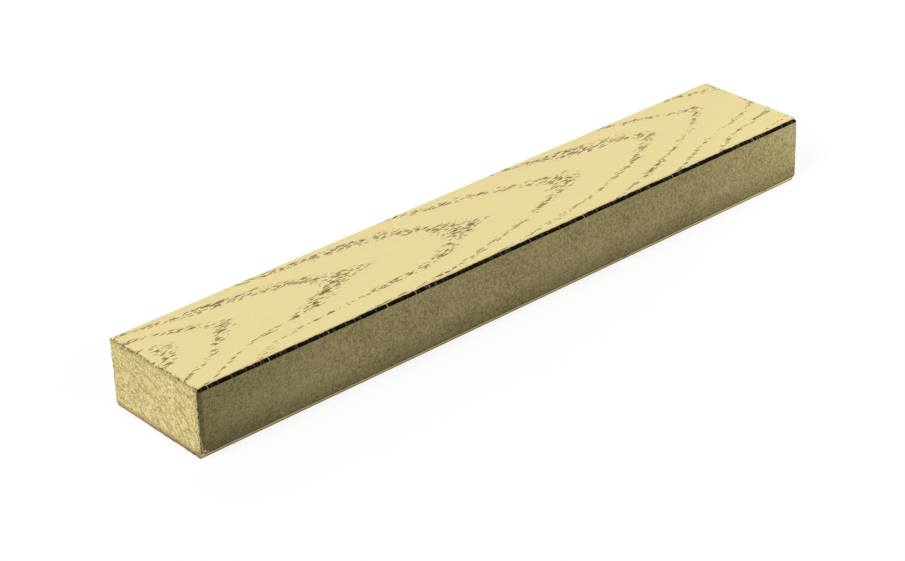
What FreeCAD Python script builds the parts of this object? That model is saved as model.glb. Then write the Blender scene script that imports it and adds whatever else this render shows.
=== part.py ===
import FreeCAD, Part
import Sketcher
import os

# Leather strop for woodcarving tools: a plain hardwood bar with one strip of leather glued to a narrow
# long side. Millimetres. +X runs along the bar, the leather faces -Y, +Z is up. The origin is at the
# middle of the whole strop's footprint, on the surface that it lies on.

doc = FreeCAD.newDocument("leather_strop")

# Driving dimensions, each written once: name, value, what it is.
SIZES = [
    ("block_length", 280.0, "length of the wooden bar"),
    ("block_width", 45.5, "depth of the bar from its back to the leathered side"),
    ("block_height", 26.0, "height of the bar as it lies"),
    ("back_top_arris", 0.5, "radius of the upper back arris"),
    ("back_bottom_arris", 2.5, "radius of the lower back arris"),
    ("front_bottom_arris", 1.0, "radius of the lower arris under the leather"),
    ("film_thickness", 0.15, "cured glue between wood and leather"),
    ("film_inset", 0.3, "how far the glue stops inside the leather's outline"),
    ("leather_thickness", 1.6, "thickness of the leather strip"),
    ("leather_end_gap", 0.3, "bare wood at each end of the strip"),
    ("leather_bottom_gap", 1.15, "bare flat wood between the lower arris and the strip"),
    ("edge_land", 0.95, "square part of the leather's cut edge, next to the wood"),
    ("face_corner_radius", 0.6, "corner radius of the leather's outer face, inside the bevel"),
]

sheet = doc.addObject("Spreadsheet::Sheet", "sizes")
for row, (name, value, meaning) in enumerate(SIZES, start=1):
    sheet.set(f"A{row}", name)
    sheet.set(f"B{row}", str(value))
    sheet.set(f"C{row}", meaning)
    sheet.setAlias(f"B{row}", name)
doc.recompute()

# Sizes and places that follow from the driving ones.
STACK = "(sizes.film_thickness + sizes.leather_thickness)"
LEATHER_LENGTH = "(sizes.block_length - 2 * sizes.leather_end_gap)"
LEATHER_LIFT = "(sizes.front_bottom_arris + sizes.leather_bottom_gap)"
LEATHER_HEIGHT = f"(sizes.block_height - {LEATHER_LIFT})"
BLOCK_BACK = f"(sizes.block_width + {STACK}) / 2"
FILM_BACK = f"({STACK} - sizes.block_width) / 2"
LEATHER_BACK = f"{FILM_BACK} - sizes.film_thickness"
EDGE_BEVEL = "(sizes.leather_thickness - sizes.edge_land)"

SAME_PLACE = 1e-3  # two positions nearer than this are the same


def origin_plane(body, role):
    """The body's own origin plane that has this role."""
    return next(plane for plane in body.Origin.OriginFeatures if plane.Role == role)


def add_rectangle(sketch, length, height, lift=None):
    """A rectangle centred left to right, standing on the horizontal axis or lifted above it."""
    # It is drawn roughly here, and the constraints give it its real size and place.
    rough_end, rough_foot, rough_top = 10, 1, 5
    outline = ((-rough_end, rough_foot), (rough_end, rough_foot),
               (rough_end, rough_top), (-rough_end, rough_top))
    corners = [FreeCAD.Vector(x, y, 0) for x, y in outline]
    for start, end in zip(corners, corners[1:] + corners[:1]):
        sketch.addGeometry(Part.LineSegment(start, end))
    bottom, right, top, left = range(4)
    for line, following in ((bottom, right), (right, top), (top, left), (left, bottom)):
        sketch.addConstraint(Sketcher.Constraint("Coincident", line, 2, following, 1))
    sketch.addConstraint(Sketcher.Constraint("Symmetric", bottom, 1, bottom, 2, -2))
    sketch.addConstraint(Sketcher.Constraint("Horizontal", top))
    for line in (right, left):
        sketch.addConstraint(Sketcher.Constraint("Vertical", line))
    rough_height = rough_top - rough_foot
    driven = [("length", Sketcher.Constraint("DistanceX", bottom, 1, bottom, 2, 2 * rough_end), length),
              ("height", Sketcher.Constraint("DistanceY", right, 1, right, 2, rough_height), height)]
    if lift is None:
        sketch.addConstraint(Sketcher.Constraint("PointOnObject", bottom, 1, -1))
    else:
        driven.append(("lift", Sketcher.Constraint("DistanceY", -1, 1, bottom, 1, rough_foot), lift))
    for name, constraint, expression in driven:
        sketch.renameConstraint(sketch.addConstraint(constraint), name)
        sketch.setExpression(f"Constraints.{name}", expression)


def make_slab(label, length, height, thickness, back, lift=None):
    """A body whose front view is a rectangle, padded towards -Y from its back face."""
    body = doc.addObject("PartDesign::Body", label)
    body.Label = label
    sketch = body.newObject("Sketcher::SketchObject", f"{label}_front_view")
    sketch.AttachmentSupport = [(origin_plane(body, "XZ_Plane"), "")]
    sketch.MapMode = "FlatFace"
    add_rectangle(sketch, length, height, lift)
    pad = body.newObject("PartDesign::Pad", f"{label}_slab")
    pad.Profile = sketch
    pad.setExpression("Length", thickness)
    body.Tip = pad
    body.setExpression("Placement.Base.y", back)
    doc.recompute()
    return body


def edges_on(feature, *sides):
    """Names of the feature's edges that lie on every named side of its box, such as "ZMin"."""
    box = feature.Shape.BoundBox
    names = []
    for number, edge in enumerate(feature.Shape.Edges, start=1):
        reach = edge.BoundBox
        ends = [(getattr(reach, side[0] + end), getattr(box, side))
                for side in sides for end in ("Min", "Max")]
        if all(abs(position - limit) < SAME_PLACE for position, limit in ends):
            names.append(f"Edge{number}")
    return names


def dress(body, kind, label, edges, size_name, size):
    """A fillet or chamfer on edges of the body's last feature."""
    dressed = body.Tip
    feature = body.newObject(f"PartDesign::{kind}", label)
    feature.Base = (dressed, edges)
    feature.setExpression(size_name, size)
    body.Tip = feature
    doc.recompute()
    return feature


def make_wood_block():
    """The bar: planed along, sawn at its ends, with its arrises eased except above the leather."""
    body = make_slab("wood_block", "sizes.block_length", "sizes.block_height",
                     "sizes.block_width", BLOCK_BACK)
    arrises = [("back_bottom", ("YMax", "ZMin")),
               ("front_bottom", ("YMin", "ZMin")),
               ("back_top", ("YMax", "ZMax"))]
    for place, sides in arrises:
        dress(body, "Fillet", f"{place}_round", edges_on(body.Tip, *sides),
              "Radius", f"sizes.{place}_arris")
    return body


def make_glue_film():
    """The cured glue: it stops a little inside the leather's outline all round."""
    return make_slab("glue_film", f"{LEATHER_LENGTH} - 2 * sizes.film_inset",
                     f"{LEATHER_HEIGHT} - 2 * sizes.film_inset", "sizes.film_thickness",
                     FILM_BACK, f"{LEATHER_LIFT} + sizes.film_inset")


def make_leather_strip():
    """The leather: rounded corners, and a bevel all round its outer face."""
    body = make_slab("leather_strip", LEATHER_LENGTH, LEATHER_HEIGHT, "sizes.leather_thickness",
                     LEATHER_BACK, LEATHER_LIFT)
    corners = [edges_on(body.Tip, end, side) for end in ("XMin", "XMax") for side in ("ZMin", "ZMax")]
    dress(body, "Fillet", "corner_round", sum(corners, []),
          "Radius", f"{EDGE_BEVEL} + sizes.face_corner_radius")
    dress(body, "Chamfer", "edge_bevel", edges_on(body.Tip, "YMin"), "Size", EDGE_BEVEL)
    return body


pieces = [make_wood_block(), make_glue_film(), make_leather_strip()]
doc.recompute()

for item in doc.Objects:
    if {"Invalid", "Error"} & set(item.State):
        raise RuntimeError(f"{item.Label} failed: {item.State}")
for piece in pieces:
    if piece.Shape.isNull() or not piece.Shape.isValid():
        raise RuntimeError(f"{piece.Label} has no valid shape")

os.makedirs("parts", exist_ok=True)
for piece in pieces:
    piece.Shape.exportStep(f"parts/{piece.Label}.step")
    box = piece.Shape.BoundBox
    print(f"{piece.Label}: {len(piece.Shape.Solids)} solid, {piece.Shape.Volume:.1f} mm3,"
          f" x {box.XMin:.2f} to {box.XMax:.2f}, y {box.YMin:.2f} to {box.YMax:.2f},"
          f" z {box.ZMin:.2f} to {box.ZMax:.2f}")
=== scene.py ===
import math
import bpy
import numpy as np
from mathutils import Matrix, Vector


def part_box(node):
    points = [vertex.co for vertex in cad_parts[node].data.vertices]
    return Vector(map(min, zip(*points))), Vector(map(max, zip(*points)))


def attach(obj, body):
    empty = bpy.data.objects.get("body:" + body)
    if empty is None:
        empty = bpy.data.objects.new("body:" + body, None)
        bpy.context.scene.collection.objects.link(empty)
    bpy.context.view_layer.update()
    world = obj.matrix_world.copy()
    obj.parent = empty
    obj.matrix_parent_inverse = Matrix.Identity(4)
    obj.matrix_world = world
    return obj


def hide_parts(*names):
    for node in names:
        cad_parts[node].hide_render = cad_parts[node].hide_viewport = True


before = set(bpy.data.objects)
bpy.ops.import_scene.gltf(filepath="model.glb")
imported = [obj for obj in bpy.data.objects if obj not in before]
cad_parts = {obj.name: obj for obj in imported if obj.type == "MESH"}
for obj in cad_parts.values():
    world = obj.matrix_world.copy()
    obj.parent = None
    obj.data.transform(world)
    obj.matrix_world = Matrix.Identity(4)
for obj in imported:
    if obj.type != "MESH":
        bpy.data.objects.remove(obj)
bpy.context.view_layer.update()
print("frame: CAD nodes", sorted(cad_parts))

# A bench strop: an ash bar lying on its wide face, with leather glued along one narrow side.
# The bar runs along X, the leather faces -Y. Shapes are worked out in millimetres and put down in metres.
mm = 0.001


def hexToLinear(code):
    # sRGB hex to linear light: the dark end is divided by 12.92, the rest is a 2.4 power
    srgb = np.array([int(code[i:i + 2], 16) / 255 for i in (1, 3, 5)])
    linear = np.where(srgb <= 0.04045, srgb / 12.92, ((srgb + 0.055) / 1.055) ** 2.4)
    return (*linear.tolist(), 1.0)


def addNode(tree, kind, sockets=None, **settings):
    # one node: settings are its properties, sockets are values, nodes (their first output) or outputs.
    # By number, MapRange takes 0 value, 1 and 2 from, 3 and 4 to, and a colour Mix 0 share, 6 and 7 colours
    made = tree.nodes.new("ShaderNode" + kind)
    for name, value in settings.items():
        setattr(made, name, value)
    for socket, value in (sockets or {}).items():
        source = value.outputs[0] if isinstance(value, bpy.types.Node) else value
        if isinstance(source, bpy.types.NodeSocket):
            tree.links.new(source, made.inputs[socket])
        else:
            made.inputs[socket].default_value = source
    return made


def newMaterial(name):
    material = bpy.data.materials.new(name)
    material.use_nodes = True
    material.node_tree.nodes.clear()
    return material, material.node_tree


def perLength(*sizes):
    # pattern units per metre for features of these sizes, in mm
    return tuple(1 / (size * mm) for size in sizes)


def latticeNoise(points, size, seed):
    # random values on a lattice of this size, blended with 3p^2 - 2p^3 between the lattice points
    cell = np.asarray(points, float) / size
    low = np.floor(cell)
    part = (cell - low) ** 2 * (3 - 2 * (cell - low))
    stride = np.array([127.1, 311.7, 74.7])[:cell.shape[-1]]
    total = 0
    for corner in np.ndindex(*(2,) * cell.shape[-1]):
        value = np.modf(np.abs(np.sin((low + corner) @ stride + seed * 17.17)) * 43758.5453)[0]
        total = total + value * np.prod(np.where(corner, part, 1 - part), axis=-1)
    return total


def noiseSum(points, parts, seed):
    # lattice noises of several sizes added up, each times its share
    return sum(share * latticeNoise(points, size, seed + number)
               for number, (share, size) in enumerate(parts))


def smoothStep(value, start, end):
    # 3p^2 - 2p^3 of how far the value has come from start to end
    part = np.clip((value - start) / (end - start), 0, 1)
    return part * part * (3 - 2 * part)


def linesAlong(length, step, fine):
    # even steps, with closer lines beside both ends
    even = np.linspace(0, length, round(length / step) + 1)
    return np.unique(np.round(np.concatenate((even, fine, length - np.array(fine))), 4))


def borderOf(ny, nz):
    # the border of an ny by nz grid, once round: out along y, up, back along y and down
    outward, upward = np.arange(ny - 1), np.arange(nz - 1)
    i = np.concatenate((outward, np.full(nz - 1, ny - 1), ny - 1 - outward, np.zeros(nz - 1, int)))
    j = np.concatenate((np.zeros(ny - 1, int), upward, np.full(ny - 1, nz - 1), nz - 1 - upward))
    return i, j


def tubeFaces(columns, ring):
    # quads round a closed ring and along the columns, facing outwards for a ring that turns from +Y to +Z
    c, r = np.meshgrid(np.arange(columns - 1), np.arange(ring), indexing="ij")
    following = (r + 1) % ring
    quads = (c * ring + r, c * ring + following, (c + 1) * ring + following, (c + 1) * ring + r)
    return np.stack(quads, -1).reshape(-1, 4)


def putPiece(name, vertices, faces, materials, materialIndex, attributes):
    # a mesh at the origin, with a material for each face and a value for each point in every attribute
    mesh = bpy.data.meshes.new(name)
    mesh.from_pydata(vertices.tolist(), [], faces)
    for material in materials:
        mesh.materials.append(material)
    mesh.polygons.foreach_set("material_index", np.asarray(materialIndex, np.int32))
    for key, values in attributes.items():
        layer = mesh.attributes.new(key, "FLOAT", "POINT")
        layer.data.foreach_set("value", np.asarray(values, np.float32))
    mesh.validate()
    piece = bpy.data.objects.new(name, mesh)
    bpy.context.scene.collection.objects.link(piece)
    return piece


# Growth rings. Each line is one year's early wood where it comes out on the top face, as points of
# (depth from the leathered side, distance from the left end, reach of the pores beyond the line) in mm.
growth = dict(
    lines=(
        ((10, -25, 6), (16, 0, 2.5), (18, 1.2, 4), (21, 3.4, 5.5), (24, 4.6, 6.5), (28, 5, 8),
         (30.5, 5, 7), (31.5, 1, 4), (36, -20, 8), (45.5, -80, 20)),
        ((2, -14, 5), (7.2, 1, 4), (10.5, 10, 3.5), (13.5, 17, 2.5), (18, 21, 3), (21, 24, 4.5),
         (24, 25.5, 8), (27, 27, 8), (30, 25, 5), (32, 20, 8), (35, 12.5, 7), (37.3, 4.5, 7),
         (41, -14, 14), (45.5, -45, 20)),
        ((0, 3, 3), (2.6, 10.5, 2.5), (5.7, 16, 2.5), (8.2, 22, 3), (10, 27, 4), (12.2, 34, 10),
         (13.7, 47, 19), (16, 54, 14), (20.7, 63.5, 16), (24, 72.5, 22), (26, 73, 21), (28, 70, 12),
         (31, 63, 12), (33.5, 57, 12), (35.5, 46, 18), (37.3, 32, 28), (39.4, 22, 28), (41.7, 12, 17),
         (43.6, 3, 10), (45.5, -8, 12)),
        ((1, 25.5, 2.5), (4.3, 30, 3), (5.4, 34.5, 6), (7.1, 43.5, 11), (8.2, 56, 46), (9.2, 74, 39),
         (10.3, 88, 29), (11.2, 106, 13), (14.3, 115, 8.5), (18.7, 122.8, 14), (22, 124, 21),
         (25, 124, 15), (28, 121, 12.5), (31.5, 115.5, 12), (35.7, 107, 10), (37.6, 97, 18),
         (39.2, 88, 27), (40.6, 78, 34), (42.8, 58, 30), (44.6, 46, 16), (45.5, 40, 10)),
        ((0, 66, 14), (1.2, 85, 25), (2, 108, 10), (3.7, 121, 3.5), (6.2, 127.5, 6), (9, 140.5, 10),
         (10.5, 149, 7), (12, 154.5, 5), (14.3, 158, 8), (17, 168, 9), (20, 174.5, 13),
         (24, 177, 14.5), (28, 175, 14), (30, 170, 13), (31.5, 166, 9), (34, 158.5, 8), (36, 151, 9),
         (38.4, 143, 10), (40.3, 132, 15), (42.2, 126, 10), (44.6, 118, 8), (45.5, 114, 6)),
        ((1, 137, 6), (2, 147, 7), (3.5, 155, 9), (5.4, 164, 8), (6.5, 174, 6), (8.2, 182, 4),
         (10, 188.5, 4), (13, 196, 6), (15, 205, 6), (17.5, 211.5, 5), (20.4, 217, 4.5), (24, 223, 7),
         (26.5, 228, 5), (29, 229, 7), (31.3, 227.5, 5), (32.6, 217, 9), (33.6, 206, 19),
         (35.2, 200, 26), (37.4, 194, 29), (40, 187, 24), (42.4, 181, 10), (44, 172, 12),
         (45.5, 162, 14)),
        ((1.3, 190, 3), (3.2, 197.5, 4), (5, 202, 7), (6.5, 208, 8), (8.5, 212.5, 8), (10.8, 218, 4),
         (12.5, 224.5, 4), (14.5, 229, 4), (16.5, 233.5, 3), (19, 240, 3.5), (21.5, 245, 3),
         (24.5, 250, 3.5), (27.5, 254.5, 4), (30, 257, 7), (32, 255.5, 8), (34, 251, 9),
         (35.8, 246, 8), (38, 241, 6), (40.2, 234, 7), (42.4, 228, 7), (44.4, 222, 6), (45.5, 218, 6)),
        ((1, 219, 2.5), (3, 224, 3), (5, 228, 4.5), (6.5, 232.5, 3), (8, 236.5, 2.5), (9.5, 241, 3),
         (11.8, 247, 4), (13, 254, 4), (14.3, 260.5, 4), (16.5, 267, 4), (19, 274, 3), (22, 281, 5),
         (27, 289, 8), (32, 290, 8), (36, 284, 6), (39, 276, 6), (41, 269, 7), (43, 261, 9),
         (45.5, 250, 10)),
        ((1.5, 241, 2.5), (4, 246, 3), (6, 250, 4), (7.5, 256, 6), (9, 262, 9), (10.5, 269, 8),
         (12, 277, 5), (16, 290, 6), (26, 320, 10), (32, 322, 10), (38, 312, 8), (45.5, 290, 8)),
        ((0.5, 263, 3), (2, 270, 4), (3, 276, 4), (6, 290, 5), (16, 325, 8), (28, 352, 10),
         (45.5, 325, 8)),
    ),
    earlier=13,        # rings that only come out lower down, left of the first line: these are arches
    arch=dict(
        tip=27,             # depth of the tip
        spacing=42,         # from one tip to the next
        drop=70,            # how far an arch falls back, this far aside of its tip
        aside=20,
        power=1.8,
        reach=9,            # of its pores
        tipSwing=2,         # how unlike one arch is to the next
        spacingSwing=9,
        reachSwing=0.3,
    ),
    span=(-40, 90),    # mm of depth over which the lines are kept
    dip=14,            # mm along the bar for each mm down: how slightly the rings slope
    lean=0.9,          # mm towards the back for each mm down: where the arches' middle goes
    step=0.25,         # mm between two depths of a line
    ease=0.5,          # mm over which a line's corners are eased
    apart=3,           # least mm from one line to the next
    usualShare=0.3,    # share of a year that its pores take, where no line says it
    shares=(0.05, 0.7),  # the least and the greatest
)


def ringLines():
    # every line as two rows over depth: where it starts, and how far its pores reach; the earlier rings are
    # arches, start - drop * (distance from the tip / aside)^power, and the chosen ones go on straight at
    # both ends and have their corners eased by a bell curve
    depth = np.arange(*growth["span"], growth["step"])
    arch = growth["arch"]
    starts, reaches = [], []
    for number in range(-growth["earlier"], 0):
        fromTip = np.abs(depth - arch["tip"] - arch["tipSwing"] * math.sin(number * 1.9))
        start = number * arch["spacing"] + arch["spacingSwing"] * math.sin(number * 2.7)
        starts.append(start - arch["drop"] * (fromTip / arch["aside"]) ** arch["power"])
        swing = 1 - arch["reachSwing"] + arch["reachSwing"] * math.sin(number * 4.1)
        reaches.append(np.full_like(depth, arch["reach"] * swing))
    half = round(6 * growth["ease"] / growth["step"])
    kernel = np.exp(-0.5 * (np.arange(-half, half + 1) * growth["step"] / growth["ease"]) ** 2)
    for points in growth["lines"]:
        across, along, pores = np.array(points, float).T
        line = np.interp(depth, across, along)
        for end, inner, beyond in ((0, 1, depth < across[0]), (-1, -2, depth > across[-1])):
            slope = (along[end] - along[inner]) / (across[end] - across[inner])
            line = np.where(beyond, along[end] + slope * (depth - across[end]), line)
        starts.append(np.convolve(np.pad(line, half, "edge"), kernel / kernel.sum(), "valid"))
        reaches.append(np.interp(depth, across, pores))
    starts.append(starts[-1] + arch["spacing"])
    reaches.append(reaches[-1])
    order = np.arange(len(starts))[:, None] * growth["apart"]
    return depth, np.maximum.accumulate(np.array(starts) - order, axis=0) + order, np.array(reaches)


def ringAge(x, y, z, height):
    # the ring number at a point, rising evenly from each line to the next, and the share of the year
    # that its pores take; a point lower down reads the pattern further left and further forward
    across = y - growth["lean"] * (height - z)
    along = x - growth["dip"] * (height - z)
    depth, starts, reaches = ringLines()
    age = np.zeros_like(along)
    share = np.full_like(along, growth["usualShare"])
    previous = np.interp(across, depth, starts[0])
    for index in range(len(starts) - 1):
        following = np.interp(across, depth, starts[index + 1])
        part = (along - previous) / (following - previous)
        age += np.clip(part, 0, 1)
        reach = np.interp(across, depth, reaches[index]) / (following - previous)
        share = np.where((part >= 0) & (part < 1), reach, share)
        previous = following
    return age, np.clip(share, *growth["shares"])


# The wooden bar, all in mm. Depth is measured from the leathered side, height from what it lies on.
barShape = dict(
    arrises=(("back", "top", 0.5), ("back", "bottom", 2.5), ("front", "bottom", 1.0)),  # their radii
    columnStep=2.0,           # from one point to the next along the bar, and across its section
    sectionStep=0.38,
    nearEdge=(0.12, 0.28),    # closer lines beside the long edges, and beside the ends
    nearEnd=(0.4, 0.8, 1.2, 1.6),
    slant=0.35,               # how far the left end is out of square at its lower back corner
    wornFoot=(0.15, 1.7),     # radius that its lower edge is worn to, at the front and at the back
    endReach=7.0,             # how far in the long faces follow the end
    sawDepth=0.12,            # roughness that the saw leaves, and its parts: share and size
    fineTear=(0.45, 0.8),
    coarseTear=(0.3, 2.6),
    arcTear=(0.25, 0.9),
    sawCentre=(46.3, -22.2),  # depth and height of the point that the saw's arcs turn round
    rim=0.4,                  # breadth of the edge that can splinter
    chipDepth=0.46,
    chipLength=1.5,
    crumbLength=0.5,
    chipRun=(1.6, 0.2),       # from the end: where splinters begin, and where they are full
    lowChips=0.4,             # how deep the other edges splinter beside the top one
    edgeChips=0.6,            # how deep a splinter goes sideways beside endways
    holes=((25.3, 25.5, 0.75), (23, 25.1, 0.4), (32.5, 18, 0.45), (28.1, 13.2, 0.5), (23.6, 8.2, 0.6),
           (4.6, 20.8, 0.5), (10.7, 20.1, 0.45), (14.6, 16.5, 0.5), (5.9, 8.5, 0.5), (8.9, 11.7, 0.4),
           (40.5, 9.6, 0.5), (11, 3.8, 0.45), (38.9, 24.6, 0.5)),  # depth, height and radius, on the left end
    scores=((37, 23, 25.5, 19), (24, 16.4, 17, 13.5),  # depth and height of both ends of a scored line
            (9.8, 16, 6.9, 13), (44, 18.6, 33, 16.6)),
    scoreWidth=0.42,
    scoreStrength=0.55,
    knock=(275.6, 2.4, 0.6),  # a dent in the top: distance from the left end, depth and radius
)


def roundCorners(y, z, width, height):
    # inside a corner's square a point keeps its larger offset as its distance from the arc's centre
    for side, level, radius in barShape["arrises"]:
        outY = 1 if side == "back" else -1
        outZ = 1 if level == "top" else -1
        centreY = width - radius if side == "back" else radius
        centreZ = height - radius if level == "top" else radius
        offY, offZ = (y - centreY) * outY, (z - centreZ) * outZ
        inside = (offY > 0) & (offZ > 0)
        factor = np.where(inside, np.maximum(offY, offZ) / np.maximum(np.hypot(offY, offZ), 1e-9), 1)
        y, z = centreY + outY * offY * factor, centreZ + outZ * offZ * factor
    return y, z


def sawnMarks(y, z):
    # pinholes and scores of the left end, from 0 to 1: nearness to a centre, or to a line between two points
    marks = np.zeros_like(y)
    for depth, level, radius in barShape["holes"]:
        marks = np.maximum(marks, smoothStep(radius - np.hypot(y - depth, z - level), 0, radius * 0.7))
    for startY, startZ, endY, endZ in barShape["scores"]:
        runY, runZ = endY - startY, endZ - startZ
        part = np.clip(((y - startY) * runY + (z - startZ) * runZ) / (runY ** 2 + runZ ** 2), 0, 1)
        away = np.hypot(y - startY - part * runY, z - startZ - part * runZ)
        line = barShape["scoreStrength"] * smoothStep(away, barShape["scoreWidth"], 0)
        marks = np.maximum(marks, line * latticeNoise(np.stack((y, z), -1), 1.1, 8))
    return marks


def makeBar(materials):
    # the section's border carried along the bar, each end closed by the section's own grid of points
    low, high = (np.array(corner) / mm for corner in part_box("wood_block"))
    length, width, height = high - low
    knockX, knockY, knockRadius = barShape["knock"]
    xs = linesAlong(length, barShape["columnStep"], barShape["nearEnd"])
    xs = np.unique(np.concatenate((xs, knockX + knockRadius * np.linspace(-1, 1, 5))))
    ys = linesAlong(width, barShape["sectionStep"], barShape["nearEdge"])
    zs = linesAlong(height, barShape["sectionStep"], barShape["nearEdge"])
    gridY, gridZ = roundCorners(*np.meshgrid(ys, zs, indexing="ij"), width, height)
    ny, nz = len(ys), len(zs)
    ringI, ringJ = borderOf(ny, nz)
    ring, columns = len(ringI), len(xs)
    ringY, ringZ = gridY[ringI, ringJ], gridZ[ringI, ringJ]

    side = np.stack((np.repeat(xs, ring), np.tile(ringY, columns), np.tile(ringZ, columns)), -1)
    inner = np.stack((gridY[1:-1, 1:-1].ravel(), gridZ[1:-1, 1:-1].ravel()), -1)
    blocks, faces, kinds = [side], [tubeFaces(columns, ring)], [np.zeros((columns - 1) * ring)]
    count = len(side)
    for end, column in ((0.0, 0), (length, columns - 1)):
        number = np.full((ny, nz), -1)
        number[ringI, ringJ] = column * ring + np.arange(ring)
        number[1:-1, 1:-1] = count + np.arange(len(inner)).reshape(ny - 2, nz - 2)
        blocks.append(np.column_stack((np.full(len(inner), end), inner)))
        count += len(inner)
        cap = np.stack((number[:-1, :-1], number[1:, :-1], number[1:, 1:], number[:-1, 1:]), -1)
        cap = cap.reshape(-1, 4)
        faces.append(cap if column else cap[:, ::-1])
        kinds.append(np.ones(len(cap)))
    points = np.concatenate(blocks)
    x, y, z = points.T.copy()
    toEnd = np.minimum(x, length - x)
    onEnd, onLeft = toEnd < 1e-6, x < 1e-6

    # the left end out of square, its lower edge worn by r - sqrt(r^2 - (r - z)^2), the saw's arcs and torn
    # pores, splinters lost from the sawn edges, and the dent
    wornFront, wornBack = barShape["wornFoot"]
    worn = wornFront + (wornBack - wornFront) * y / width
    back = barShape["slant"] * (y / width) * (1 - z / height) ** 2
    back = back + worn - np.sqrt(worn ** 2 - np.clip(worn - z, 0, None) ** 2)
    points[:, 0] += back * np.clip(1 - x / barShape["endReach"], 0, 1)
    age, share = ringAge(points[:, 0], y, z, height)
    arc = np.hypot(y - barShape["sawCentre"][0], z - barShape["sawCentre"][1])
    rough = np.zeros_like(x)
    tears = ((points, "fineTear"), (points, "coarseTear"), (arc[:, None], "arcTear"))
    for seed, (where, name) in enumerate(tears, start=1):
        part, size = barShape[name]
        rough += barShape["sawDepth"] * part * latticeNoise(where, size, seed)
    rim = barShape["rim"]
    edge = np.minimum.reduce((y, width - y, z, height - z)) < rim
    torn = smoothStep(latticeNoise(points, barShape["chipLength"], 5), 0.42, 0.7)
    torn = torn * (0.35 + 0.65 * latticeNoise(points, barShape["crumbLength"], 6))
    torn = torn * np.where(z > height - rim, 1, barShape["lowChips"])
    chip = np.where(edge, torn * smoothStep(toEnd, *barShape["chipRun"]), 0)
    chip = np.maximum(chip, np.where(onLeft, sawnMarks(y, z), 0))
    dent = smoothStep(knockRadius - np.hypot((x - knockX) * 0.8, y - knockY), 0, knockRadius * 0.6)
    dent = np.where(z > height - 1e-6, dent, 0)
    chipDepth = barShape["chipDepth"]
    points[:, 0] += np.sign(length / 2 - x) * np.where(onEnd, rough + chipDepth * chip, 0)
    shrink = np.where(edge, chipDepth * barShape["edgeChips"] * chip, 0)
    for axis, place, extent in ((1, y, width), (2, z, height)):
        inwards = 1.0 * (place < rim) - (place > extent - rim)
        points[:, axis] += shrink * inwards
    points[:, 2] -= chipDepth * dent

    attributes = {"growth": age, "poreShare": share, "chip": np.maximum(chip, dent)}
    faces = np.concatenate(faces).tolist()
    return putPiece("ash_bar", (points + low) * mm, faces, materials, np.concatenate(kinds), attributes)


# The leather strip, all in mm.
stripShape = dict(
    cornerRadius=1.25,   # of the outline
    bevel=0.65,          # round the outer face
    leastBevel=0.03,     # what is left of the bevel's slope at the very ends
    columnStep=0.5,      # from one point to the next along the strip, and up its face
    faceStep=0.5,
    columnGap=0.06,      # least room between these and the columns of a cut
    nearEnd=(0.08, 0.2, 0.35, 0.65, 0.85, 1.05, 1.25),  # closer lines beside the ends
    napDepth=0.07,       # unevenness of the face, and its parts: share and size
    napParts=((0.6, 0.9), (0.4, 3.5)),
    edgeWander=0.16,     # how far the cut edges wander, and its parts
    wanderParts=((0.6, 7.0), (0.4, 1.1)),
    edgeFade=2.5,        # and over what height or, at the ends, length the face follows them
    endFade=1.2,
    cutDepth=(0.1, 0.12),  # of a cut's hollow, from the face and from above
    dyeRun=0.3,          # how far the dye of the top edge runs onto the face
    endDyeRun=2.6,       # and down the ends
    dryBack=(0.4, 0.02),  # how far from the wood the dye begins to fade, and where it has gone
    dyeRagged=0.3,       # how unevenly
    cuts=((3.5, 0.2, 0.5), (28, 0.22, 1.6), (52.5, 0.2, 1.4), (77.5, 0.3, 2.2), (90, 0.2, 1.2),
          (96, 0.2, 1.6), (168, 0.22, 1.8), (212.5, 0.22, 1.6), (255, 0.25, 1.2)),  # place, half width, reach
    cutStrength=0.85,
    smallCuts=dict(seed=11, most=90, endGap=2, apart=(1.6, 8.5),
                   halfWidth=(0.08, 0.16), reach=(0.1, 0.8), strength=(0.08, 0.5)),
    scuffs=((3.6, 13.3, 0.5), (62.5, 10.9, 0.4), (65, 0.9, 0.5), (31.5, 2.6, 0.4),
            (0.5, 1.3, 0.6), (1.5, 0.9, 0.4)),  # along, up and radius
)


def edgeCuts(length):
    # cuts across the dyed edge: the chosen ones, then small ones at random distances
    small = stripShape["smallCuts"]
    random = np.random.default_rng(small["seed"])
    places = np.cumsum(random.uniform(*small["apart"], small["most"]))
    places = places[places < length - small["endGap"]]
    others = [random.uniform(*small[key], len(places)) for key in ("halfWidth", "reach", "strength")]
    strengths = np.full(len(stripShape["cuts"]), stripShape["cutStrength"])
    chosen = np.column_stack((stripShape["cuts"], strengths))
    return np.concatenate((chosen, np.column_stack((places, *others))))


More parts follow.
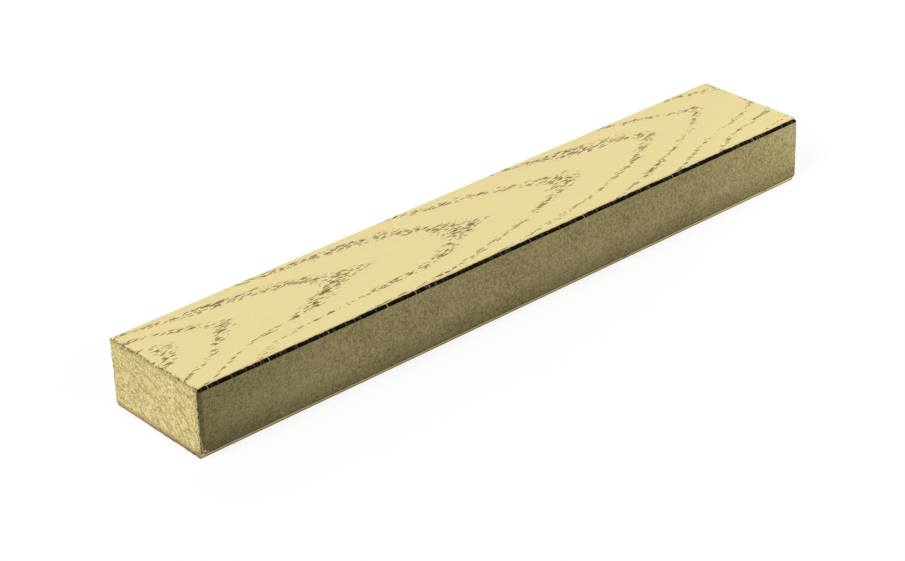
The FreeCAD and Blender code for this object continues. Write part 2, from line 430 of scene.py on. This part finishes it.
def makeStrip(material):
    # the strip's outline from the back over the top edge, down the face and back underneath, carried along X;
    # by the ends the corner's arc, radius - sqrt(radius^2 - (radius - d)^2), and the end bevel pull it in
    low, high = (np.array(corner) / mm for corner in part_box("leather_strip"))
    length, thickness, height = high - low
    radius, bevel = stripShape["cornerRadius"], stripShape["bevel"]
    place, halfWidth, cutReach, strength = edgeCuts(length).T

    even = linesAlong(length, stripShape["columnStep"], stripShape["nearEnd"])
    extra = np.concatenate((place - halfWidth, place, place + halfWidth))
    even = even[np.abs(even[:, None] - extra).min(1) > stripShape["columnGap"]]
    xs = np.unique(np.round(np.concatenate((even, extra, (0, length))), 4))
    d = np.minimum(xs, length - xs)[:, None]

    front = np.clip(bevel - d, 0, bevel - stripShape["leastBevel"])  # depth of each column's foremost points
    edgeRows = np.linspace(thickness, bevel, 5)[None, :] + 0 * d
    bevelRows = bevel + (front - bevel) * np.array([[0.35, 0.7, 1.0]])
    down = linesAlong(1, stripShape["faceStep"] / height, (0.006, 0.015))[1:-1]
    half = np.concatenate((edgeRows, bevelRows), 1)
    depth = np.concatenate((half, front + 0 * down, half[:, ::-1]), 1)
    inset = np.clip(bevel - depth, 0, bevel)
    curve = radius - inset
    drop = curve - np.sqrt(np.clip(curve ** 2 - np.clip(radius - d, 0, None) ** 2, 0, None))
    limit = inset + np.where(d < radius, drop, 0)
    share = np.concatenate((np.ones(half.shape[1]), 1 - down, np.zeros(half.shape[1])))
    z = limit + (height - 2 * limit) * share
    up = np.linspace(0, 1, 5)[1:-1]
    z = np.concatenate((z, limit[:, :1] + (height - 2 * limit[:, :1]) * up), 1)
    depth = np.concatenate((depth, thickness + 0 * d * up), 1)
    ring, columns = z.shape[1], len(xs)
    points = np.stack((np.repeat(xs, ring), depth.ravel(), z.ravel()), -1)
    x, deep, level = points.T.copy()
    end = np.minimum(x, length - x)

    # the black dye of the top edge, which stops short of the wood, the cuts through it, small scuffs, and
    # where the strip was cut off
    belowEdge = height - bevel - level
    ragged = deep + stripShape["dyeRagged"] * (latticeNoise(x[:, None], 1.3, 27) - 0.5)
    dry = smoothStep(ragged, *(thickness - np.array(stripShape["dryBack"]))) * (level > height - bevel)
    dye = np.clip(1 - belowEdge / stripShape["dyeRun"], 0, 1) * (1 - dry)
    endDye = np.clip(1 - (height - level) / stripShape["endDyeRun"], 0, 1) * np.clip(1.2 - end / bevel, 0, 1)
    across = np.clip(1 - np.abs(x[:, None] - place) / halfWidth, 0, 1)
    fading = np.clip(1 - np.clip(belowEdge[:, None] / cutReach, 0, None), 0, 1)
    cut = (across * fading * strength).max(1)
    for alongX, upZ, size in stripShape["scuffs"]:
        cut = np.maximum(cut, 0.9 * np.clip(1.4 - np.hypot(x - alongX, level - upZ) / size, 0, 1))
    onFace = 1 - smoothStep(deep, 0, bevel)
    endCut = smoothStep(bevel * 1.4 - end, 0, bevel * 0.5)
    bareEdge = (1 - onFace) * smoothStep(bevel * 1.2 - level, 0, bevel * 0.5) * (1 - endCut)
    bareEdge = np.maximum(bareEdge, dry)

    # a soft nap on the face, edges that wander a little, and the cuts' small hollows
    nap = noiseSum(points, stripShape["napParts"], 21)
    fromFace, fromAbove = stripShape["cutDepth"]
    fade = stripShape["edgeFade"]
    points[:, 1] += onFace * (stripShape["napDepth"] * nap + fromFace * cut)
    for towards, inner, outer, seed in ((-1, height - fade, height, 23), (1, fade, 0, 33)):
        wander = noiseSum(x[:, None], stripShape["wanderParts"], seed)
        points[:, 2] += towards * stripShape["edgeWander"] * wander * smoothStep(level, inner, outer)
    points[:, 2] -= fromAbove * cut * smoothStep(level, height - fade, height)
    endWander = stripShape["edgeWander"] * latticeNoise(level[:, None], 1.3, 25)
    points[:, 0] += np.sign(length / 2 - x) * endWander * smoothStep(end, stripShape["endFade"], 0)

    faces = tubeFaces(columns, ring).tolist()
    last = (columns - 1) * ring
    faces += [list(range(ring))[::-1], list(range(last, last + ring))]
    attributes = {"dye": np.maximum(dye, endDye), "cut": cut, "endCut": endCut, "bareEdge": bareEdge}
    indices = np.zeros(len(faces))
    return putPiece("leather_face_strip", (points + low) * mm, faces, [material], indices, attributes)


ash = dict(
    wood="#E6D599",          # planed ash, very even and pale
    streak="#DCC98B",        # the slightly darker stripes along it
    pore="#6A5712",          # open early-wood pores, with dust in them
    rim="#F7EAB6",           # torn lips of the pores, where the light catches them
    roughness=0.62,
    shine=0.04,
    poreSize=(3.0, 0.54),    # mm from one pore to the next, along and across: twice the real ones, to show
    laneSize=(9, 0.42),      # mm, of the single vessels that start the year a little early or late
    laneShift=0.3,           # years that they shift
    swaySize=(8, 2),         # mm, of the bends in a row of pores
    swayShift=0.12,          # years that these shift it
    thinning=(0.75, 1.15),   # where in its share of the year a row thins out, and where it ends
    patchSize=(6.5, 2.4),    # mm, of the gaps in a row
    patchShade=0.76,         # how dense the row still is there
    poreReach=(-0.26, 0.37),  # of a pore round its cell's centre, outside a row and in a dense one
    poreFray=0.4,
    streakSize=(17, 0.45),
    rowShade=0.12,           # how much a dense row shades the wood between its pores
    poreShade=0.9,
    lipShade=0.8,
    crumbSize=(1.6, 1.1),    # mm, of the loose crumbs beside the left end
    crumbRun=(3.4, 0.5),     # mm from that end: where they begin, and where they are thick
    shaded=(1.0, 0.7),      # mm up: where the painted shade on the front's lower edge begins, and where it is full
    shadedDepth=1.2,        # mm back from the front: as far as this painted shade goes
    endWood="#F5E2A0",       # sawn end: torn fibre ends
    endDark="#8F7B45",       # and the dust and shade between them
    endEdgeDark="#8A7642",       # painted shade along its lower edge, and darker along its upper one
    endRoughness=0.85,
    endShine=0.2,
    speckSize=(1.2, 0.45),   # mm, coarse and fine
    arcSize=(0.75, 9),       # mm between the saw's arcs, and along them
    footShadeRun=3.5,             # mm up the end of the painted shade of its lower edge, and down from the upper one of its darker band
    headRun=2.5,
    crushedFront=(4.5, 1.4),  # mm from the front and from the top: where crushed fibres begin, and are many
    crushedTop=(2.4, 0.8),
    lowEdgeShade=(1.8, 0.3),      # mm up: where the painted shade line of the lower edge begins, and where it is full
)


def poreRows(tree, coords):
    # how far the year has come, swayed a little and shifted from vessel to vessel, against the share that its
    # pores take, gives how dense they are; a pore is the surroundings of a cell's centre in a pattern drawn
    # out along the grain, with a reach that grows with the density and a frayed border
    age = addNode(tree, "Attribute", attribute_name="growth")
    share = addNode(tree, "Attribute", attribute_name="poreShare")
    points = []
    for name in ("swaySize", "laneSize", "patchSize", "poreSize"):
        along, across = ash[name]
        points.append(addNode(tree, "VectorMath", {0: coords, 1: perLength(along, across, across)},
                              operation="MULTIPLY"))
    swayPoint, lanePoint, patchPoint, porePoint = points
    sway = addNode(tree, "TexNoise", {"Vector": swayPoint, "Scale": 1.0, "Detail": 3.0, "Roughness": 0.65})
    lane = addNode(tree, "TexNoise", {"Vector": lanePoint, "Scale": 1.0, "Detail": 0.0})
    swayShift, laneShift = ash["swayShift"], ash["laneShift"]
    swayed = addNode(tree, "Math", {0: sway, 1: swayShift, 2: age.outputs["Fac"]}, operation="MULTIPLY_ADD")
    laned = addNode(tree, "Math", {0: lane, 1: laneShift, 2: swayed}, operation="MULTIPLY_ADD")
    year = addNode(tree, "Math", {0: laned, 1: (swayShift + laneShift) / 2}, operation="SUBTRACT")
    season = addNode(tree, "Math", {0: year}, operation="FRACT")
    part = addNode(tree, "Math", {0: season, 1: share.outputs["Fac"]}, operation="DIVIDE")
    begin, over = ash["thinning"]
    falling = addNode(tree, "MapRange", {0: part, 1: begin, 2: over, 3: 1.0, 4: 0.0})
    patch = addNode(tree, "TexNoise", {"Vector": patchPoint, "Scale": 1.0, "Detail": 2.0})
    patchy = addNode(tree, "MapRange", {0: patch, 1: 0.34, 2: 0.56, 3: ash["patchShade"], 4: 1.0})
    density = addNode(tree, "Math", {0: falling, 1: patchy}, operation="MULTIPLY")
    least, most = ash["poreReach"]
    reach = addNode(tree, "MapRange", {0: density, 3: least, 4: most})
    vessel = addNode(tree, "TexVoronoi", {"Vector": porePoint, "Scale": 1.0})
    fray = addNode(tree, "TexNoise", {"Vector": porePoint, "Scale": 1.6, "Detail": 2.0})
    frayed = addNode(tree, "Math", {0: fray, 1: ash["poreFray"], 2: reach}, operation="MULTIPLY_ADD")
    inside = addNode(tree, "Math", {0: frayed, 1: vessel}, operation="SUBTRACT")
    return inside, density


def planedAsh():
    # Ash, planed and bare: an even straw colour, its rings told only by the rows of dark open pores
    material, tree = newMaterial("planed_ash")
    coords = addNode(tree, "TexCoord").outputs["Object"]
    x, y, z = addNode(tree, "SeparateXYZ", {0: coords}).outputs
    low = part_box("wood_block")[0]
    along, across = ash["streakSize"]
    streakPoint = addNode(tree, "VectorMath", {0: coords, 1: perLength(along, across, across)},
                          operation="MULTIPLY")
    streak = addNode(tree, "TexNoise", {"Vector": streakPoint, "Scale": 1.0, "Detail": 3.0})
    streaks = addNode(tree, "MapRange", {0: streak, 1: 0.35, 2: 0.75, 4: 0.3})
    wood = addNode(tree, "Mix", {0: streaks, 6: hexToLinear(ash["wood"]), 7: hexToLinear(ash["streak"])},
                   data_type="RGBA")

    # rows of pores with pale lips, on slightly darker wood
    inside, density = poreRows(tree, coords)
    band = addNode(tree, "Math", {0: density, 1: ash["rowShade"]}, operation="MULTIPLY")
    banded = addNode(tree, "Mix", {0: band, 6: wood.outputs[2], 7: hexToLinear(ash["pore"])},
                     data_type="RGBA")
    lips = addNode(tree, "MapRange", {0: inside, 1: -0.2, 2: -0.03, 4: ash["lipShade"]})
    lipped = addNode(tree, "Mix", {0: lips, 6: banded.outputs[2], 7: hexToLinear(ash["rim"])},
                     data_type="RGBA")
    pores = addNode(tree, "MapRange", {0: inside, 2: 0.09})
    strong = addNode(tree, "Math", {0: pores, 1: ash["poreShade"]}, operation="MULTIPLY")

    # crumbs beside the left end, painted shade on the front's lower edge under the leather, and darker where
    # splinters are gone and in the dent
    along, across = ash["crumbSize"]
    crumbPoint = addNode(tree, "VectorMath", {0: coords, 1: perLength(along, across, across)},
                         operation="MULTIPLY")
    crumb = addNode(tree, "TexNoise", {"Vector": crumbPoint, "Scale": 1.0, "Detail": 3.0, "Roughness": 0.7})
    begin, thick = ash["crumbRun"]
    nearEnd = addNode(tree, "MapRange", {0: x, 1: low.x + begin * mm, 2: low.x + thick * mm})
    loose = addNode(tree, "Math", {0: crumb, 1: nearEnd}, operation="MULTIPLY")
    crumbs = addNode(tree, "MapRange", {0: loose, 1: 0.49, 2: 0.56, 4: 0.9})
    # painted shade: the front's lower arris under the leather is darkened where shadow falls
    begin, full = ash["shaded"]
    under = addNode(tree, "MapRange", {0: z, 1: low.z + begin * mm, 2: low.z + full * mm, 4: 0.8})
    front = addNode(tree, "Math", {0: y, 1: low.y + ash["shadedDepth"] * mm}, operation="LESS_THAN")
    contactShade = addNode(tree, "Math", {0: under, 1: front}, operation="MULTIPLY")
    chip = addNode(tree, "Attribute", attribute_name="chip")
    chipDarkening = addNode(tree, "MapRange", {0: chip.outputs["Fac"], 1: 0.15, 2: 0.9, 4: 0.9})
    marked = strong
    for mark in (contactShade, crumbs, chipDarkening):
        marked = addNode(tree, "Math", {0: marked, 1: mark}, operation="MAXIMUM")
    colour = addNode(tree, "Mix", {0: marked, 6: lipped.outputs[2], 7: hexToLinear(ash["pore"])},
                     data_type="RGBA")

    groove = addNode(tree, "Math", {0: pores, 1: -1.0, 2: 1.0}, operation="MULTIPLY_ADD")
    relief = addNode(tree, "Math", {0: streak, 1: 0.15, 2: groove}, operation="MULTIPLY_ADD")
    bump = addNode(tree, "Bump", {"Height": relief, "Strength": 0.5, "Distance": 0.06 * mm})
    shader = addNode(tree, "BsdfPrincipled",
                     {"Base Color": colour.outputs[2], "Roughness": ash["roughness"],
                      "Specular IOR Level": ash["shine"], "Normal": bump})
    addNode(tree, "OutputMaterial", {0: shader})
    return material


def sawnAsh():
    # The same ash sawn across: torn fibre ends catch the light unevenly, and the blade left faint arcs
    material, tree = newMaterial("sawn_ash_end")
    coords = addNode(tree, "TexCoord").outputs["Object"]
    y, z = list(addNode(tree, "SeparateXYZ", {0: coords}).outputs)[1:]
    low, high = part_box("wood_block")
    coarse, fine = ash["speckSize"]
    coarseNoise = addNode(tree, "TexNoise", {"Vector": coords, "Scale": 1 / (coarse * mm), "Detail": 2.0})
    fineNoise = addNode(tree, "TexNoise", {"Vector": coords, "Scale": 1 / (fine * mm), "Detail": 3.0,
                                           "Roughness": 0.7})
    both = addNode(tree, "Math", {0: coarseNoise, 1: 0.5, 2: fineNoise}, operation="MULTIPLY_ADD")
    specks = addNode(tree, "MapRange", {0: both, 1: 0.7, 2: 0.95, 4: 0.93})

    # arcs round the saw's centre: a noise over the distance from it, drawn out across the bar
    centre = (0, low.y + barShape["sawCentre"][0] * mm, low.z + barShape["sawCentre"][1] * mm)
    offset = addNode(tree, "VectorMath", {0: coords, 1: centre}, operation="SUBTRACT")
    flat = addNode(tree, "VectorMath", {0: offset, 1: (0, 1, 1)}, operation="MULTIPLY")
    distance = addNode(tree, "VectorMath", {0: flat}, operation="LENGTH").outputs["Value"]
    apart, along = perLength(*ash["arcSize"])
    turned = addNode(tree, "Math", {0: distance, 1: apart}, operation="MULTIPLY")
    drawn = addNode(tree, "Math", {0: y, 1: along}, operation="MULTIPLY")
    arcPoint = addNode(tree, "CombineXYZ", {0: turned, 1: drawn})
    arc = addNode(tree, "TexNoise", {"Vector": arcPoint, "Scale": 1.0, "Detail": 2.0})
    arcs = addNode(tree, "MapRange", {0: arc, 1: 0.5, 2: 0.64, 4: 0.7})
    kept = addNode(tree, "MapRange", {0: coarseNoise, 1: 0.35, 2: 0.6, 3: 0.35})
    scored = addNode(tree, "Math", {0: arcs, 1: kept}, operation="MULTIPLY")
    worn = addNode(tree, "Math", {0: specks, 1: scored}, operation="MAXIMUM")
    wood = addNode(tree, "Mix", {0: worn, 6: hexToLinear(ash["endWood"]), 7: hexToLinear(ash["endDark"])},
                   data_type="RGBA")

    # painted shade along the lower edge and a darker band along the upper one, pale fibres crushed loose
    # along the front and the upper one
    # painted shade darkens the lower edge; the upper edge gets a darker band too
    paintedShade = addNode(tree, "MapRange", {0: z, 1: low.z + ash["footShadeRun"] * mm, 2: low.z})
    head = addNode(tree, "MapRange", {0: z, 1: high.z - ash["headRun"] * mm, 2: high.z, 4: 0.5})
    edges = addNode(tree, "Math", {0: paintedShade, 1: head}, operation="MAXIMUM")
    edged = addNode(tree, "Mix", {0: edges, 6: wood.outputs[2], 7: hexToLinear(ash["endEdgeDark"])},
                    data_type="RGBA")
    begin, many = ash["crushedFront"]
    nearFront = addNode(tree, "MapRange", {0: y, 1: low.y + begin * mm, 2: low.y + many * mm})
    begin, many = ash["crushedTop"]
    nearTop = addNode(tree, "MapRange", {0: z, 1: high.z - begin * mm, 2: high.z - many * mm, 4: 0.96})
    crushed = addNode(tree, "Math", {0: nearFront, 1: nearTop}, operation="MAXIMUM")
    bare = addNode(tree, "Math", {0: coarseNoise, 1: crushed}, operation="MULTIPLY")
    torn = addNode(tree, "MapRange", {0: bare, 1: 0.52, 2: 0.6, 4: 0.9})
    freshened = addNode(tree, "Mix", {0: torn, 6: edged.outputs[2], 7: hexToLinear(ash["rim"])},
                        data_type="RGBA")

    # and dark marks: pores, the holes and splinters of the mesh, crumbs, and a speckled line of painted shade
    # along the lower edge
    inside = poreRows(tree, coords)[0]
    pores = addNode(tree, "MapRange", {0: inside, 2: 0.09, 4: 0.5})
    chip = addNode(tree, "Attribute", attribute_name="chip")
    stained = addNode(tree, "Math", {0: fineNoise, 1: crushed}, operation="MULTIPLY")
    stain = addNode(tree, "MapRange", {0: stained, 1: 0.5, 2: 0.55, 4: 0.95})
    # painted shade: a speckled dark line along the lower edge
    begin, full = ash["lowEdgeShade"]
    lowEdgeShade = addNode(tree, "MapRange", {0: z, 1: low.z + begin * mm, 2: low.z + full * mm, 4: 1.5})
    speckledShade = addNode(tree, "Math", {0: fineNoise, 1: lowEdgeShade}, operation="MULTIPLY")
    marked = pores
    for mark in (chip.outputs["Fac"], stain, speckledShade):
        marked = addNode(tree, "Math", {0: marked, 1: mark}, operation="MAXIMUM")
    colour = addNode(tree, "Mix", {0: marked, 6: freshened.outputs[2], 7: hexToLinear(ash["pore"])},
                     data_type="RGBA")

    relief = addNode(tree, "Math", {0: worn, 1: -1.0, 2: 1.0}, operation="MULTIPLY_ADD")
    bump = addNode(tree, "Bump", {"Height": relief, "Strength": 0.6, "Distance": 0.2 * mm})
    shader = addNode(tree, "BsdfPrincipled",
                     {"Base Color": colour.outputs[2], "Roughness": ash["endRoughness"],
                      "Specular IOR Level": ash["endShine"], "Normal": bump})
    addNode(tree, "OutputMaterial", {0: shader})
    return material


leather = dict(
    hide="#B3A574",          # vegetable-tanned leather, flesh side out
    dark="#7D7045",
    pale="#CDC095",          # fibres that stand up and catch the light
    dye="#090703",           # black edge dye
    raw="#C6B88B",           # fresh leather where the dyed edge is cut
    paintedShade="#4A4127",          # painted shade along the lower edge and towards the left end
    end="#746A48",           # soiled cut ends, between this
    endDark="#403924",       # and this
    bare="#E0D09C",          # the lower bevel, and the upper edge beside the wood
    roughness=0.92,
    shine=0.06,
    cloudSize=22,            # mm
    napSize=(0.8, 0.9),      # mm, across and up: a little coarser than real fibres, to show
    hairSize=(0.42, 0.55),
    nickSize=(0.7, 9),       # mm between the fine nicks of the dyed edge, and across it
    footShadeRun=9,               # mm up the face that the painted shade of its lower edge goes
    footShadeLine=(1.3, 0.8),     # mm up: where the painted shade line of that edge begins, and where it is full
    leftShadeRun=60,            # mm from the left end that the face is darkened by painted shade
)


def napLeather():
    # Vegetable-tanned leather with its flesh side out: a short felty nap, matt, clouded, no shine
    material, tree = newMaterial("nap_leather")
    coords = addNode(tree, "TexCoord").outputs["Object"]
    x, z = list(addNode(tree, "SeparateXYZ", {0: coords}).outputs)[::2]
    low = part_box("leather_strip")[0]
    cloudScale, = perLength(leather["cloudSize"])
    cloud = addNode(tree, "TexNoise", {"Vector": coords, "Scale": cloudScale, "Detail": 3.0})
    across, up = leather["napSize"]
    napPoint = addNode(tree, "VectorMath", {0: coords, 1: perLength(across, across, up)},
                       operation="MULTIPLY")
    nap = addNode(tree, "TexNoise", {"Vector": napPoint, "Scale": 1.0, "Detail": 4.0, "Roughness": 0.75})
    tone = addNode(tree, "Math", {0: cloud, 1: 0.2}, operation="MULTIPLY")
    mottle = addNode(tree, "Math", {0: nap, 1: 1.1, 2: tone}, operation="MULTIPLY_ADD")
    toDark = addNode(tree, "MapRange", {0: mottle, 1: 0.765, 2: 0.475})
    body = addNode(tree, "Mix", {0: toDark, 6: hexToLinear(leather["hide"]), 7: hexToLinear(leather["dark"])},
                   data_type="RGBA")
    across, up = leather["hairSize"]
    hairPoint = addNode(tree, "VectorMath", {0: coords, 1: perLength(across, across, up)},
                        operation="MULTIPLY")
    hair = addNode(tree, "TexNoise", {"Vector": hairPoint, "Scale": 1.0, "Detail": 1.0})
    hairs = addNode(tree, "MapRange", {0: hair, 1: 0.59, 2: 0.71, 4: 0.95})
    haired = addNode(tree, "Mix", {0: hairs, 6: body.outputs[2], 7: hexToLinear(leather["pale"])},
                     data_type="RGBA")

    # painted shade along its lower edge and towards the left end, then the cut ends and the bare edges
    # painted shade: darker towards the lower edge, with a dark line at the very bottom
    shade = addNode(tree, "MapRange", {0: z, 1: low.z + leather["footShadeRun"] * mm, 2: low.z, 4: 0.5})
    # painted shade: darker towards the left end, where less light falls
    leftEndShade = addNode(tree, "MapRange", {0: x, 1: low.x + leather["leftShadeRun"] * mm, 2: low.x, 4: 0.28})
    shaded = addNode(tree, "Math", {0: shade, 1: leftEndShade}, operation="ADD")
    begin, full = leather["footShadeLine"]
    line = addNode(tree, "MapRange", {0: z, 1: low.z + begin * mm, 2: low.z + full * mm, 4: 0.85})
    paintedShade = addNode(tree, "Math", {0: shaded, 1: line}, operation="MAXIMUM")
    colour = addNode(tree, "Mix", {0: paintedShade, 6: haired.outputs[2], 7: hexToLinear(leather["paintedShade"])},
                     data_type="RGBA")
    ending = addNode(tree, "Mix", {0: toDark, 6: hexToLinear(leather["end"]),
                                   7: hexToLinear(leather["endDark"])}, data_type="RGBA")
    for name, look in (("endCut", ending.outputs[2]), ("bareEdge", hexToLinear(leather["bare"]))):
        edge = addNode(tree, "Attribute", attribute_name=name)
        colour = addNode(tree, "Mix", {0: edge.outputs["Fac"], 6: colour.outputs[2], 7: look},
                         data_type="RGBA")

    # the black dye with a ragged border, opened by cuts and fine nicks
    dye = addNode(tree, "Attribute", attribute_name="dye")
    ragged = addNode(tree, "Math", {0: nap, 1: 1.2, 2: dye.outputs["Fac"]}, operation="MULTIPLY_ADD")
    dyed = addNode(tree, "MapRange", {0: ragged, 1: 0.85, 2: 1.25})
    inked = addNode(tree, "Mix", {0: dyed, 6: colour.outputs[2], 7: hexToLinear(leather["dye"])},
                    data_type="RGBA")
    cut = addNode(tree, "Attribute", attribute_name="cut")
    opened = addNode(tree, "MapRange", {0: cut.outputs["Fac"], 1: 0.1, 2: 0.9, 4: 0.8})
    along, across = leather["nickSize"]
    nickPoint = addNode(tree, "VectorMath", {0: coords, 1: perLength(along, across, across)},
                        operation="MULTIPLY")
    nick = addNode(tree, "TexNoise", {"Vector": nickPoint, "Scale": 1.0, "Detail": 3.0, "Roughness": 0.6})
    nicks = addNode(tree, "MapRange", {0: nick, 1: 0.57, 2: 0.72, 4: 0.18})
    onDye = addNode(tree, "Math", {0: nicks, 1: dyed}, operation="MULTIPLY")
    opening = addNode(tree, "Math", {0: opened, 1: onDye}, operation="MAXIMUM")
    final = addNode(tree, "Mix", {0: opening, 6: inked.outputs[2], 7: hexToLinear(leather["raw"])},
                    data_type="RGBA")

    bump = addNode(tree, "Bump", {"Height": nap, "Strength": 0.7, "Distance": 0.15 * mm})
    shader = addNode(tree, "BsdfPrincipled",
                     {"Base Color": final.outputs[2], "Roughness": leather["roughness"],
                      "Specular IOR Level": leather["shine"], "Normal": bump})
    addNode(tree, "OutputMaterial", {0: shader})
    return material


glueLook = dict(dark="#8A6F3C", pale="#B59A62", lumpSize=2.5, roughness=0.4)  # the size in mm


def driedGlue():
    # Contact adhesive, brushed on and dried: amber, a little glossy, uneven in tone
    material, tree = newMaterial("dried_contact_glue")
    coords = addNode(tree, "TexCoord").outputs["Object"]
    lumpScale, = perLength(glueLook["lumpSize"])
    lumps = addNode(tree, "TexNoise", {"Vector": coords, "Scale": lumpScale, "Detail": 2.0})
    colour = addNode(tree, "Mix", {0: lumps, 6: hexToLinear(glueLook["dark"]),
                                   7: hexToLinear(glueLook["pale"])}, data_type="RGBA")
    bump = addNode(tree, "Bump", {"Height": lumps, "Strength": 0.4, "Distance": 0.05 * mm})
    shader = addNode(tree, "BsdfPrincipled",
                     {"Base Color": colour.outputs[2], "Roughness": glueLook["roughness"], "Normal": bump})
    addNode(tree, "OutputMaterial", {0: shader})
    return material


bar = makeBar([planedAsh(), sawnAsh()])
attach(bar, "root")
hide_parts("wood_block")
print("bar:", len(bar.data.polygons), "faces")

strip = makeStrip(napLeather())
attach(strip, "root")
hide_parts("leather_strip")
print("leather strip:", len(strip.data.polygons), "faces")

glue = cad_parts["glue_film"]
glue.data.materials.clear()
glue.data.materials.append(driedGlue())
print("glue film: CAD shape kept")


# Floor and light. A sun gives its share of full light on a face turned straight to it.
stageLook = dict(
    floorSize=6.0,       # m
    floorGrey=0.15,      # what the floor gives back to the object, kept low
    sky=0.44,            # soft light from all round
    suns=dict(
        key=dict(stands=(-0.80, -0.05, 0.60), share=0.85, spread=40),
        front=dict(stands=(0.25, -0.93, 0.27), share=0.34, spread=60),
        back=dict(stands=(0.45, 0.85, 0.25), share=0.28, spread=60),
    ),
    side=dict(stands=(0.165, -0.075, 0.03), size=(0.03, 0.02), power=0.021, towards=(0.125, -0.023, 0.013)),
)


def whiteToCamera(tree, seen, otherwise):
    # one strength for rays that look at the backdrop straight, in a mirror or through glass, one for the rest
    path = addNode(tree, "LightPath")
    mirrored = addNode(tree, "Math", {0: path.outputs["Is Camera Ray"], 1: path.outputs["Is Glossy Ray"]},
                       operation="MAXIMUM")
    looking = addNode(tree, "Math", {0: mirrored, 1: path.outputs["Is Transmission Ray"]},
                      operation="MAXIMUM")
    return addNode(tree, "MapRange", {0: looking, 3: otherwise, 4: seen})


def makeFloor():
    # it reflects a little, which keeps the shadow, and the rest of its white is a glow for the camera only
    material, tree = newMaterial("pale_floor")
    grey = stageLook["floorGrey"]
    diffuse = addNode(tree, "BsdfDiffuse", {"Color": (grey, grey, grey, 1)})
    glow = addNode(tree, "Emission", {"Strength": whiteToCamera(tree, 1 - grey, 0.0)})
    both = addNode(tree, "AddShader", {0: diffuse, 1: glow})
    addNode(tree, "OutputMaterial", {0: both})
    half = stageLook["floorSize"] / 2
    corners = np.array(((-half, -half, 0), (half, -half, 0), (half, half, 0), (-half, half, 0)))
    putPiece("floor", corners, [[0, 1, 2, 3]], [material], [0], {})


def makeSky():
    world = bpy.data.worlds.new("studio")
    bpy.context.scene.world = world
    world.use_nodes = True
    tree = world.node_tree
    tree.nodes.clear()
    background = addNode(tree, "Background", {"Strength": whiteToCamera(tree, 1.0, stageLook["sky"])})
    addNode(tree, "OutputWorld", {0: background})


def addLamp(name, kind, stands, towards, energy):
    lamp = bpy.data.objects.new(name, bpy.data.lights.new(name, kind))
    lamp.data.energy = energy
    bpy.context.scene.collection.objects.link(lamp)
    turn = (Vector(towards) - Vector(stands)).to_track_quat("-Z", "Y").to_matrix().to_4x4()
    lamp.matrix_world = Matrix.Translation(stands) @ turn
    lamp.visible_camera = False
    return lamp


def makeLamps():
    for name, sun in stageLook["suns"].items():
        lamp = addLamp(name, "SUN", sun["stands"], (0, 0, 0), math.pi * sun["share"])
        lamp.data.angle = math.radians(sun["spread"])
    side = stageLook["side"]
    lamp = addLamp("side", "AREA", side["stands"], side["towards"], side["power"])
    lamp.data.shape = "RECTANGLE"
    lamp.data.size, lamp.data.size_y = side["size"]


cameraLook = dict(
    turn=41.331, dip=28.271, roll=-1.865,     # degrees
    distance=0.91674, aimed=(-0.01017, 0.00324, 0.00503), lens=104.45,
)


def makeCamera():
    turn, dip = math.radians(cameraLook["turn"]), math.radians(cameraLook["dip"])
    forward = Vector((math.sin(turn) * math.cos(dip), math.cos(turn) * math.cos(dip), -math.sin(dip)))
    place = Vector(cameraLook["aimed"]) - forward * cameraLook["distance"]
    camera = bpy.data.objects.new("camera", bpy.data.cameras.new("camera"))
    camera.data.lens = cameraLook["lens"]
    camera.data.sensor_width = 36
    camera.data.clip_start = 0.01
    bpy.context.scene.collection.objects.link(camera)
    level = forward.to_track_quat("-Z", "Y").to_matrix().to_4x4()
    roll = Matrix.Rotation(math.radians(cameraLook["roll"]), 4, "Z")
    camera.matrix_world = Matrix.Translation(place) @ level @ roll
    bpy.context.scene.camera = camera


makeFloor()
makeSky()
makeLamps()
makeCamera()
bpy.context.scene.view_settings.view_transform = "Standard"
print("stage: floor, sky, lamps and camera")
